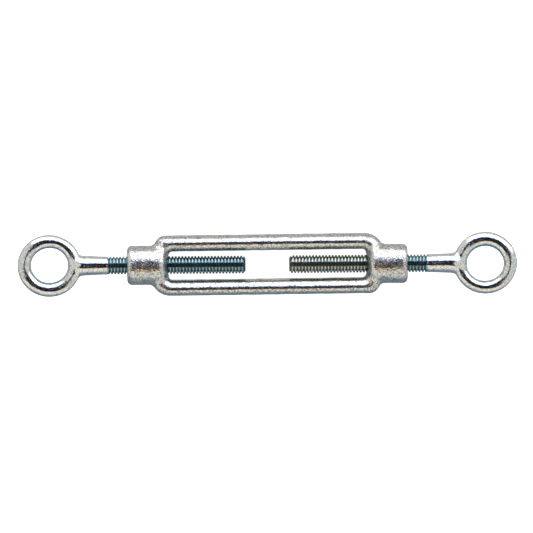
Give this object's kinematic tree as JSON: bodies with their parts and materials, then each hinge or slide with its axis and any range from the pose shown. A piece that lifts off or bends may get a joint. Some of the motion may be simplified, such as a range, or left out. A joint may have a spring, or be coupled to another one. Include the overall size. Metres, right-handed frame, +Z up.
{
  "type": "rigging turnbuckle",
  "caption": "Open-body rigging turnbuckle: a forged frame with opposite-handed tapped hubs and a screw-in eye bolt at each end, zinc plated.",
  "frame": {"origin": "middle of the body, on the axis of the two screws", "axes": "+X along the screws towards the left-hand thread's eye, +Y across the rails in the plane of the eyes, +Z up, along the holes of the eyes"},
  "size_m": [0.2152, 0.0268, 0.0171],
  "materials": {
    "zinc_plated_body": "bright zinc plate over a coarse forged skin",
    "zinc_plated_bolt": "bright zinc plate with a faint blue tint"
  },
  "bodies": {
    "body": {"turnbuckle_body": "zinc_plated_body"},
    "left_core": {"left_screw_core": "zinc_plated_bolt"},
    "left_bolt": {"left_eye_bolt": "zinc_plated_bolt"},
    "right_core": {"right_screw_core": "zinc_plated_bolt"},
    "right_bolt": {"right_eye_bolt": "zinc_plated_bolt"}
  },
  "joints": [
    {"name": "left_screw_turn", "type": "hinge", "parent": "left_core", "child": "left_bolt", "pos_m": [-0.0941, 0, 0], "axis": [1, 0, 0], "range_deg": [-8101, 1981]},
    {"name": "left_screw_travel", "type": "slide", "parent": "body", "child": "left_core", "axis": [1, 0, 0], "range_m": [-0.03175, 0.00776]},
    {"name": "right_screw_turn", "type": "hinge", "parent": "right_core", "child": "right_bolt", "pos_m": [0.0941, 0, 0], "axis": [1, 0, 0], "range_deg": [-8101, 1981]},
    {"name": "right_screw_travel", "type": "slide", "parent": "body", "child": "right_core", "axis": [1, 0, 0], "range_m": [-0.00776, 0.03175]}
  ],
  "couplings": [
    {"joint": "left_screw_turn", "follows": "left_screw_travel", "rad_per_m": 4452.6},
    {"joint": "right_screw_turn", "follows": "right_screw_travel", "rad_per_m": -4452.6}
  ]
}
